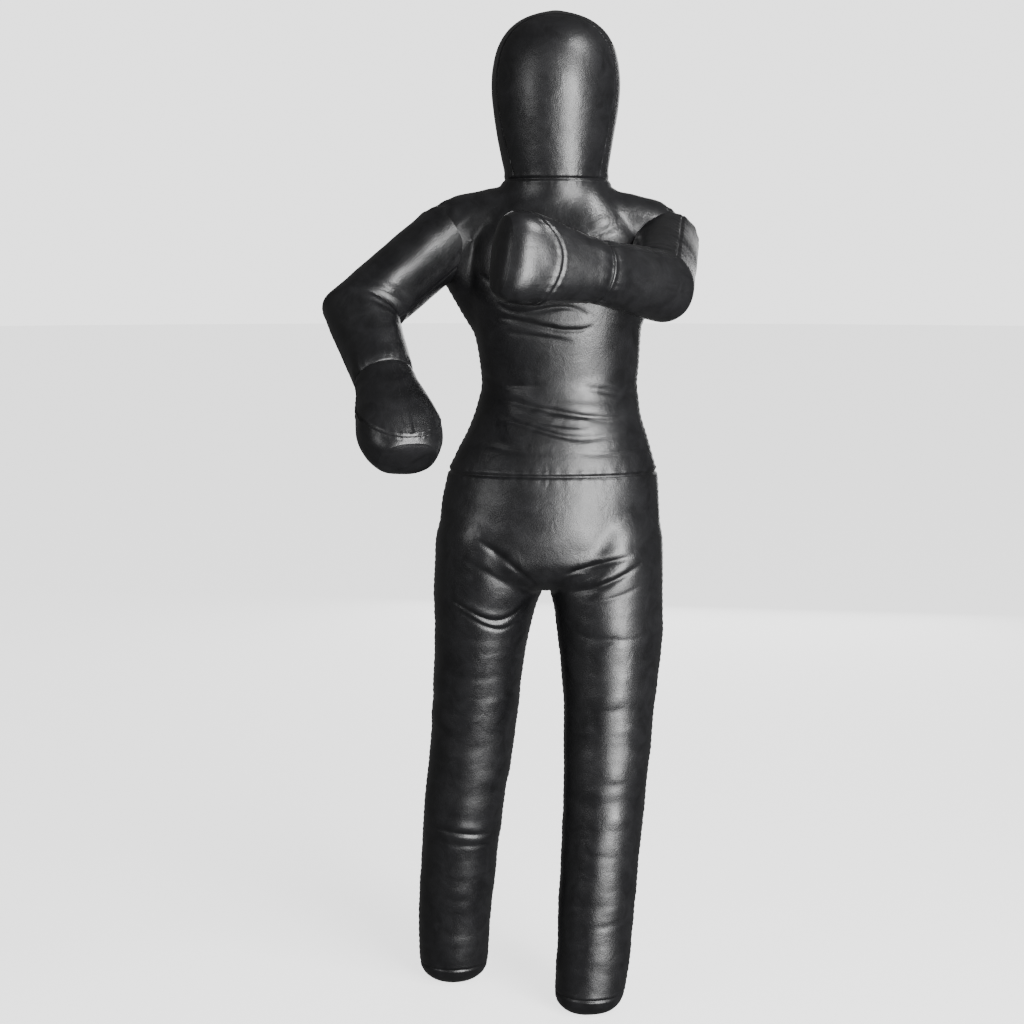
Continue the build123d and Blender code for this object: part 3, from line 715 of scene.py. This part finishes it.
def sleeve_push(points, side, count):
    """The sleeve's two seams, the folds inside the elbow, and gathers at root and wrist."""
    (shoulder, elbow, wrist, _), (first, second, _) = arm_lines(side)
    turns = np.tile(np.linspace(0, 2 * pi, count, endpoint=False), len(points) // count)
    push = 1.2 * noise(points, 60, 21) + 0.6 * noise(points, 26, 22)
    corner = unit(first + second)
    from_corner = (points - elbow) @ corner
    inside = unit(second - first)
    depth_in = np.clip(((points - elbow) @ inside) / 50, -1, 1)
    folds = np.sin(2 * pi * from_corner / 19 + 0.9 * noise(points, 30, 23))
    push += 0.9 * folds * bell(from_corner, 24) * ramp(depth_in, 0.1, 0.9)
    push -= 1.6 * bell(from_corner, 5) * ramp(depth_in, 0.3, 0.9)
    far = (points - shoulder) @ unit(ARMHOLE_FACING[side])
    past_root = ramp(far, 6, 14)
    for seam_turn in ARM_SEAM_TURNS[side]:
        away = np.abs((turns - seam_turn + pi) % (2 * pi) - pi) * 53
        push += past_root * groove(away, 2.2, 1.4)
        push += past_root * puckers(away, points @ corner, 24, pitch=16, height=0.2)
    gathers = np.sin(turns * 15 + 3 * noise(points, 34, 25))
    push += 0.8 * bell(far - 8, 12) * ramp(far, 2, 8) * gathers
    from_wrist = (points - wrist) @ second
    push += 0.35 * bell(from_wrist + 8, 10) * np.sin(turns * 17 + 4 * noise(points, 26, 26))
    push += 0.7 * bell(from_wrist + 14, 10) - 0.9 * bell(from_wrist, 4)
    return push


def skin_from_rings(name, rings, push):
    """A closed smooth skin over rings, moved along its normals."""
    mesh = rings_to_mesh(name, rings)
    points = coordinates(mesh)
    normals = vertex_normals(mesh)
    points[: len(push)] += normals[: len(push)] * push[:, None]
    set_coordinates(mesh, points)
    return smooth_object(name, mesh)


def sleeve(side):
    """One sleeve. Its first and last two rings stay where they are."""
    rings = sleeve_rings(side)
    count = rings.shape[1]
    push = sleeve_push(rings.reshape(-1, 3), side, count)
    push *= np.repeat(np.r_[np.zeros(2), np.ones(len(rings) - 4), np.zeros(2)], count)
    return skin_from_rings(f"sleeve_{side}", rings, push)


# mitt: (share of the length, half width, half depth)
MITT_ROWS = {
    "l": [
        (0.0, 47.5, 46.5), (0.12, 49, 46.5), (0.35, 57, 47), (0.6, 66, 47.5),
        (0.8, 70, 47), (0.89, 69, 44), (0.95, 65, 39), (1.0, 57, 30),
    ],
    "r": [
        (0.0, 47.5, 46.5), (0.12, 49, 46.5), (0.3, 57, 47), (0.48, 65, 47.5),
        (0.62, 68.5, 47.5), (0.74, 67.5, 47.5), (0.84, 63.5, 46.5), (0.92, 57, 44.5),
        (0.97, 51, 41.5), (1.0, 45, 36.5),
    ],
}
MITT_HALF_WIDTH = 66
MITT_HALF_DEPTH = 47
# the end panel's seam: (share of the length at the sides, further share at the back, depth)
MITT_END_SEAM = {"l": (0.52, 0.4, 1.7), "r": (0.36, 0.56, 2.8)}


def mitt_frame(side):
    """Wrist and end point, the mitt's three directions, and the wrist seam's normal."""
    (_, _, wrist, hand), (_, second, third) = arm_lines(side)
    across = np.array(MITT_ACROSS[side], float)
    across = unit(across - (across @ third) * third)
    return wrist, hand, third, across, np.cross(third, across), unit(second + third)


def mitt_rings(side, count=144):
    """Rings from inside the sleeve's end, over the wrist seam, to the closed end."""
    wrist, hand, third, across, ahead, cuff = mitt_frame(side)
    length = np.linalg.norm(hand - wrist)
    table = np.array(MITT_ROWS[side])
    rings = []
    for share, past in ((0.8, 1.0), (0.92, -1.5), (0.97, -1.0)):
        wide, deep = table[0, 1] * share, table[0, 2] * share
        rings.append(ring(wrist + third * past, across, ahead, wide, deep, count))
    rounding = np.sin(np.linspace(0.05, 1, 22) * pi / 2)
    shares = np.r_[np.linspace(0, 0.86, 66), 0.86 + 0.14 * rounding]
    widths = np.interp(shares, table[:, 0], table[:, 1])
    depths = np.interp(shares, table[:, 0], table[:, 2])
    for _ in range(12):
        widths[1:-1] = (widths[:-2] + 2 * widths[1:-1] + widths[2:]) / 4
        depths[1:-1] = (depths[:-2] + 2 * depths[1:-1] + depths[2:]) / 4
    for share, wide, deep in zip(shares, widths, depths):
        square = 2.0 + 0.5 * share
        spokes = ring((0, 0, 0), across, ahead, wide, deep, count, square)
        lean = -(spokes @ cuff) / (third @ cuff) * (1 - ramp(share, 0, 0.3))
        rings.append(wrist + spokes + third * (share * length + lean)[:, None])
    for share, out in ((0.9, 1.8), (0.75, 3.6), (0.55, 5.2), (0.32, 6.2), (0.1, 6.6)):
        wide, deep = table[-1, 1] * share, table[-1, 2] * share
        rings.append(ring(hand + third * out, across, ahead, wide, deep, count, 2.5))
    return np.array(rings)


def mitt_push(points, side):
    """The mitt's side seams, the end panel's bowed seam, and the dart down the back."""
    wrist, hand, third, across, ahead, _ = mitt_frame(side)
    length = np.linalg.norm(hand - wrist)
    offset = points - wrist
    along = offset @ third
    aside = offset @ across
    deep = offset @ ahead
    push = 1.2 * noise(points, 50, 41) + 0.6 * noise(points, 22, 42)
    toward_back = np.clip(deep / MITT_HALF_DEPTH, 0, 1)
    toward_side = (aside / MITT_HALF_WIDTH) ** 2
    if side == "l":
        bow = np.where(aside > 0, 0.25, 0.1) * toward_side
    else:
        bow = 0.07 * toward_back * (1 - toward_side)
    at_side, to_back, depth = MITT_END_SEAM[side]
    seam = length * (at_side + to_back * toward_back + bow)
    edge = np.abs(deep) + 100 * (np.abs(aside) < 25)
    before_end = 1 - ramp(along, (at_side - 0.04) * length, at_side * length)
    gathers = puckers(edge, along, 43, reach=10, pitch=10, height=0.4)
    push += ramp(along, 4, 12) * before_end * (groove(edge, 2.3, 2.0) + gathers)
    turn = np.arctan2(deep, aside) * 58
    end = np.abs(along - seam)
    push += groove(end, 2.5, depth) + puckers(end, turn, 44, reach=11, pitch=13, height=0.45)
    push -= 1.2 * ramp(along - seam, 0, 14) * (1 - ramp(along, length - 8, length + 4))
    dart = np.abs(aside - 3 + 5 * (along / length - 0.5))
    on_dart = ramp(along, 6, 16) * (1 - ramp(along, seam - 12, seam)) * (deep > 0)
    deepening = 1.2 + 3.0 * ramp(along, 0.45 * length, 0.85 * length)
    push += on_dart * groove(dart, 2.4, 1.0) * deepening
    push += 0.4 * bell(along, 12) * np.sin(turn * 0.3 + 3 * noise(points, 24, 45))
    push += 0.7 * bell(along - 13, 9) - 0.9 * bell(along, 4)
    swell = bell(along - 0.55 * length, 0.3 * length) * (np.abs(deep) / MITT_HALF_DEPTH) * 2.5
    return push + swell


def mitt(side):
    """One mitt. Its first two rings, inside the sleeve, stay where they are."""
    rings = mitt_rings(side)
    count = rings.shape[1]
    push = mitt_push(rings.reshape(-1, 3), side)
    push *= np.repeat(np.r_[np.zeros(2), np.ones(len(rings) - 2)], count)
    return skin_from_rings(f"mitt_{side}", rings, push)


# ---- the zip ---------------------------------------------------------------------------------
def box_of(node):
    low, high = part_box(node)
    return np.array(low) * 1000 - OFFSET, np.array(high) * 1000 - OFFSET


def tape(side):
    """One zip tape: an upright strip with rounded edges."""
    low, high = box_of(f"zip_tape_{side}")
    x, y, _ = (low + high) / 2
    half_width, half_depth, _ = (high - low) / 2
    rings = [
        ring((x, y, z), (1, 0, 0), (0, 1, 0), half_width, half_depth, 32, 7)
        for z in np.linspace(low[2], high[2], 90)
    ]
    return smooth_object(f"tape_{side}", rings_to_mesh(f"tape_{side}", rings))


def coil(side):
    """A plastic coil: one thin thread wound in flat loops that stand on the tape."""
    low, high = box_of(f"zip_coil_{side}")
    middle = (low + high) / 2
    half = (high - low) / 2 - 0.45
    pitch = 1.9
    thread_radius = 0.42
    per_turn = 12
    steps = int((high[2] - low[2] - 1) / pitch * per_turn)
    rings = []
    for i in range(steps):
        turn = 2 * pi * i / per_turn
        place = (
            middle[0] + half[0] * cos(turn),
            middle[1] + half[1] * sin(turn),
            low[2] + 0.5 + pitch * i / per_turn,
        )
        outward = (cos(turn), sin(turn), 0)
        rings.append(ring(place, outward, (0, 0, 1), thread_radius, thread_radius, 6))
    return smooth_object(f"teeth_{side}", rings_to_mesh(f"teeth_{side}", rings))


# ---- materials -------------------------------------------------------------------------------
def new_material(name):
    material = bpy.data.materials.new(name)
    material.use_nodes = True
    nodes = material.node_tree.nodes
    return material, nodes, material.node_tree.links, nodes["Principled BSDF"]


def noise_node(nodes, links, place, scale, detail=4.0, roughness=0.55, distortion=0.0):
    node = nodes.new("ShaderNodeTexNoise")
    node.inputs["Scale"].default_value = scale
    node.inputs["Detail"].default_value = detail
    node.inputs["Roughness"].default_value = roughness
    node.inputs["Distortion"].default_value = distortion
    links.new(place, node.inputs["Vector"])
    return node.outputs["Fac"]


def ranged(nodes, links, value, low, high, to_low, to_high):
    node = nodes.new("ShaderNodeMapRange")
    node.inputs["From Min"].default_value = low
    node.inputs["From Max"].default_value = high
    node.inputs["To Min"].default_value = to_low
    node.inputs["To Max"].default_value = to_high
    links.new(value, node.inputs["Value"])
    return node.outputs["Result"]


def bumped(nodes, links, height, distance, strength, before=None):
    node = nodes.new("ShaderNodeBump")
    node.inputs["Strength"].default_value = strength
    node.inputs["Distance"].default_value = distance
    links.new(height, node.inputs["Height"])
    if before is not None:
        links.new(before, node.inputs["Normal"])
    return node.outputs["Normal"]


def two_colours(nodes, links, share, first, second):
    node = nodes.new("ShaderNodeMix")
    node.data_type = "RGBA"
    node.inputs[6].default_value = (*first, 1)
    node.inputs[7].default_value = (*second, 1)
    links.new(share, node.inputs[0])
    return node.outputs[2]


def leather_material():
    """Black coated leather: pebbled grain, faint long creases, uneven gloss."""
    material, nodes, links, shader = new_material("black_leather")
    place = nodes.new("ShaderNodeTexCoord").outputs["Object"]
    grain = nodes.new("ShaderNodeTexVoronoi")
    grain.feature = "SMOOTH_F1"
    grain.inputs["Scale"].default_value = 620
    grain.inputs["Smoothness"].default_value = 0.6
    links.new(place, grain.inputs["Vector"])
    fine = noise_node(nodes, links, place, 1500, 2)
    crumple = noise_node(nodes, links, place, 34, 5, 0.6, 0.7)
    soft = noise_node(nodes, links, place, 12, 3, 0.5, 0.4)
    normal = bumped(nodes, links, crumple, 0.004, 0.20)
    normal = bumped(nodes, links, grain.outputs["Distance"], 0.0004, 0.35, normal)
    normal = bumped(nodes, links, fine, 0.0002, 0.15, normal)
    links.new(normal, shader.inputs["Normal"])
    links.new(ranged(nodes, links, soft, 0.35, 0.65, 0.30, 0.40), shader.inputs["Roughness"])
    worn = ranged(nodes, links, crumple, 0.35, 0.7, 0.0, 1.0)
    colour = two_colours(nodes, links, worn, (0.004, 0.004, 0.0045), (0.010, 0.010, 0.011))
    links.new(colour, shader.inputs["Base Color"])
    shader.inputs["Specular IOR Level"].default_value = 0.5
    return material


def tape_material():
    """Black woven tape with a rib every millimetre."""
    material, nodes, links, shader = new_material("black_tape")
    place = nodes.new("ShaderNodeTexCoord").outputs["Object"]
    weave = nodes.new("ShaderNodeTexWave")
    weave.bands_direction = "Z"
    weave.inputs["Scale"].default_value = 320
    weave.inputs["Distortion"].default_value = 1.5
    links.new(place, weave.inputs["Vector"])
    rib = weave.outputs["Fac"]
    links.new(bumped(nodes, links, rib, 0.0004, 0.6), shader.inputs["Normal"])
    colour = two_colours(nodes, links, rib, (0.006, 0.006, 0.007), (0.02, 0.02, 0.022))
    links.new(colour, shader.inputs["Base Color"])
    shader.inputs["Roughness"].default_value = 0.8
    return material


def hard_material(name, dark, light, rough_low, rough_high, metallic):
    """A hard surface with handling marks."""
    material, nodes, links, shader = new_material(name)
    place = nodes.new("ShaderNodeTexCoord").outputs["Object"]
    marks = noise_node(nodes, links, place, 260, 6, 0.6)
    links.new(two_colours(nodes, links, marks, dark, light), shader.inputs["Base Color"])
    gloss = ranged(nodes, links, marks, 0.3, 0.7, rough_low, rough_high)
    links.new(gloss, shader.inputs["Roughness"])
    links.new(bumped(nodes, links, marks, 0.0001, 0.3), shader.inputs["Normal"])
    shader.inputs["Metallic"].default_value = metallic
    return material


def floor_material():
    """Pale and slightly uneven, with a glow of its own a little below the background's."""
    material, nodes, links, shader = new_material("pale_floor")
    place = nodes.new("ShaderNodeTexCoord").outputs["Object"]
    cloud = noise_node(nodes, links, place, 1.5, 2)
    colour = two_colours(nodes, links, cloud, (0.6, 0.6, 0.6), (0.591, 0.591, 0.591))
    links.new(colour, shader.inputs["Base Color"])
    shader.inputs["Roughness"].default_value = 0.85
    shader.inputs["Emission Color"].default_value = (1, 1, 1, 1)
    shader.inputs["Emission Strength"].default_value = 1.95
    return material


def wear(obj, material):
    obj.data.materials.clear()
    obj.data.materials.append(material)


# ---- room, light and camera --------------------------------------------------------------------
FLOOR_RADIUS = 30000
FLOOR_Z = -0.5
WORLD_STRENGTH = 0.14       # what lights the object and shows in its gloss
BACKGROUND_STRENGTH = 2.4   # what the camera sees behind the floor
# (name, place, what it is aimed at, size in metres, watts)
LIGHTS = [
    ("key", (1650, -3000, 1200), (0, 0, 900), (1.4, 2.4), 300),
    ("bounce", (1050, -2500, 20), (-100, 0, 500), (2.2, 1.2), 60),
    ("fill", (-2600, -2400, 1700), (0, 0, 900), (1.0, 2.0), 30),
    ("top", (1500, -1300, 3100), (0, 0, 1300), (0.6, 0.6), 60),
    ("back", (500, 3700, 1250), (0, 0, 900), (2.2, 2.2), 50),
]


def room():
    """A wide pale floor, which neither shows in the leather's gloss nor lights it."""
    rim = ring((0, 0, FLOOR_Z), (1, 0, 0), (0, 1, 0), FLOOR_RADIUS, FLOOR_RADIUS, 96)
    mesh = bpy.data.meshes.new("floor")
    mesh.from_pydata([tuple(p) for p in metres(rim)], [], [tuple(range(len(rim)))])
    floor = new_object("floor", mesh)
    floor.data.materials.append(floor_material())
    floor.visible_glossy = False
    floor.visible_diffuse = False


def area_light(name, place, target, size, power):
    data = bpy.data.lights.new(name, "AREA")
    data.shape = "RECTANGLE"
    data.size, data.size_y = size
    data.energy = power
    light = bpy.data.objects.new(name, data)
    light.location = metres(place)
    aim = Vector(metres(target)) - light.location
    light.rotation_euler = aim.to_track_quat("-Z", "Y").to_euler()
    bpy.context.scene.collection.objects.link(light)


def surroundings():
    """A white world, dim to the object and bright to the camera."""
    world = bpy.data.worlds.new("world")
    bpy.context.scene.world = world
    world.use_nodes = True
    nodes, links = world.node_tree.nodes, world.node_tree.links
    dim = nodes["Background"]
    bright = nodes.new("ShaderNodeBackground")
    for background, strength in ((dim, WORLD_STRENGTH), (bright, BACKGROUND_STRENGTH)):
        background.inputs["Color"].default_value = (1, 1, 1, 1)
        background.inputs["Strength"].default_value = strength
    seen = nodes.new("ShaderNodeLightPath")
    mix = nodes.new("ShaderNodeMixShader")
    links.new(seen.outputs["Is Camera Ray"], mix.inputs[0])
    links.new(dim.outputs[0], mix.inputs[1])
    links.new(bright.outputs[0], mix.inputs[2])
    links.new(mix.outputs[0], nodes["World Output"].inputs["Surface"])


def camera():
    data = bpy.data.cameras.new("camera")
    data.lens = 71.01
    data.sensor_width = 36
    view = bpy.data.objects.new("camera", data)
    view.location = metres((0, -3400, 1300))
    view.rotation_euler = (radians(90 - 7.572), 0, radians(1.13))
    bpy.context.scene.collection.objects.link(view)
    bpy.context.scene.camera = view


# ---- which piece stands for which parts, and which body the foot caps and zip ride on -------
# where a skin turns from one body to the next: (start, end)
NECK_BLEND = ((7, 4, NECK_Z + 2), (7, 4, 1468))
WAIST_BLEND = ((13, 10, 990), (13, 10, 1130))
KNEE_BLEND = ((0, 0, 455), (0, 0, 345))
HIP_BLEND_LENGTH = 115      # from the crotch, down and outward
ELBOW_BLEND = (-45, 45)     # along the elbow's corner
WRIST_BLEND = (4, 58)       # past the wrist, along the mitt


def stuffed(obj, material, fill, *nodes):
    wear(obj, material)
    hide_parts(*nodes)


def blended(obj, body, next_body, start, end):
    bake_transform(obj)


def fit_trunk(body, leather):
    head_face, head_back = body["head_face"], body["head_back"]
    torso_front, torso_back = body["torso_front"], body["torso_back"]
    stuffed(head_face, leather, 0.95, "head_face_panel", "head_filling")
    stuffed(head_back, leather, 0.95, "head_back_panel")
    stuffed(torso_front, leather, 0.85, "chest_front_panel", "belly_front_panel", "chest_filling")
    stuffed(torso_back, leather, 0.85, "chest_back_panel_l", "chest_back_panel_r", "belly_back_panel")
    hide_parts("belly_and_hips_filling")
    for piece in (head_face, head_back):
        blended(piece, "chest", "head", *NECK_BLEND)
    for piece in (torso_front, torso_back):
        blended(piece, "pelvis", "chest", *WAIST_BLEND)


def fit_leg(body, side, leather):
    """Each trouser half covers half of both hip panels, so each stands for one of the two."""
    way, hips_panel = {"l": (1, "hips_front_panel"), "r": (-1, "hips_back_panel")}[side]
    trousers, lower_leg = body[f"trousers_{side}"], body[f"lower_leg_{side}"]
    stuffed(trousers, leather, 0.85, hips_panel, f"thigh_filling_{side}")
    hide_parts(f"thigh_front_panel_{side}", f"thigh_back_panel_{side}")
    start = np.array(CROTCH, float)
    outward = unit((way, 0, -1))
    blended(trousers, "pelvis", f"thigh_{side}", start, start + HIP_BLEND_LENGTH * outward)
    stuffed(lower_leg, leather, 0.85, f"shin_front_panel_{side}", f"shin_back_panel_{side}")
    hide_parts(f"shin_filling_{side}")
    blended(lower_leg, f"thigh_{side}", f"shin_{side}", *KNEE_BLEND)
    foot_cap = body[f"foot_cap_{side}"]
    stuffed(foot_cap, leather, 0.95, f"foot_cap_{side}")
    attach(foot_cap, f"shin_{side}")


def fit_arm(side, leather):
    (_, elbow, wrist, _), (first, second, third) = arm_lines(side)
    arm = sleeve(side)
    stuffed(arm, leather, 0.9, f"upper_arm_front_panel_{side}", f"upper_arm_back_panel_{side}")
    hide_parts(f"upper_arm_filling_{side}", f"forearm_filling_{side}")
    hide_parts(f"forearm_front_panel_{side}", f"forearm_back_panel_{side}")
    corner = unit(first + second)
    start, end = (elbow + reach * corner for reach in ELBOW_BLEND)
    blended(arm, f"upper_arm_{side}", f"forearm_{side}", start, end)
    hand = mitt(side)
    stuffed(hand, leather, 0.95, f"mitt_back_panel_{side}", f"mitt_palm_panel_{side}")
    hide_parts(f"mitt_end_panel_{side}", f"mitt_filling_{side}")
    start, end = (wrist + reach * third for reach in WRIST_BLEND)
    blended(hand, f"forearm_{side}", f"hand_{side}", start, end)


def fit_zip(side, cloth, plastic):
    strip = tape(side)
    wear(strip, cloth)
    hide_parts(f"zip_tape_{side}")
    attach(strip, "chest")
    thread = coil(side)
    wear(thread, plastic)
    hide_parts(f"zip_coil_{side}")
    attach(thread, "chest")


def main():
    leather = leather_material()
    cloth = tape_material()
    plastic = hard_material(
        "coil_plastic", (0.012, 0.012, 0.013), (0.022, 0.022, 0.024), 0.3, 0.45, 0
    )
    metal = hard_material("dark_nickel", (0.10, 0.10, 0.105), (0.20, 0.20, 0.21), 0.22, 0.42, 1)
    body = split_up(shaped_body(), BODY_PIECES)
    fit_trunk(body, leather)
    for side in "lr":
        fit_leg(body, side, leather)
        fit_arm(side, leather)
        fit_zip(side, cloth, plastic)
    for node in ("zip_top_stops", "zip_bottom_stop", "zip_slider", "zip_pull"):
        frame["nodes"][node].data.materials.clear()
        frame["nodes"][node].data.materials.append(metal)
    room()
    for light in LIGHTS:
        area_light(*light)
    surroundings()
    camera()


main()
